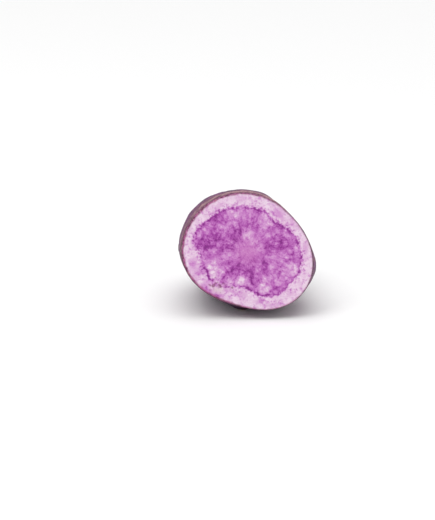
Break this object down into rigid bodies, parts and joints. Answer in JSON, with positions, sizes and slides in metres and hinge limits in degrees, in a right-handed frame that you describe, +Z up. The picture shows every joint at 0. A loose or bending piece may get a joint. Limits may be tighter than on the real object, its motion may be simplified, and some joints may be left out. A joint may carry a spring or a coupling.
{
  "type": "purple potato half",
  "caption": "Half of a purple potato, cut across: a blunt lumpy body in its skin, with shallow eyes, lying on a small flat spot with its flat cut face tilted forward and up.",
  "frame": {"origin": "middle of the flat spot on the underside that the half rests on", "axes": "+Z up, +X to the right seen from the cut face, +Y from the cut face towards the bud end, which slopes 12 degrees down"},
  "size_m": [0.0615, 0.0661, 0.0549],
  "materials": {
    "potato": "dark violet skin, thin and slightly waxy, with tan specks; the cut face is moist lilac and purple flesh"
  },
  "bodies": {
    "root": {"potato_half": "potato"}
  },
  "joints": []
}
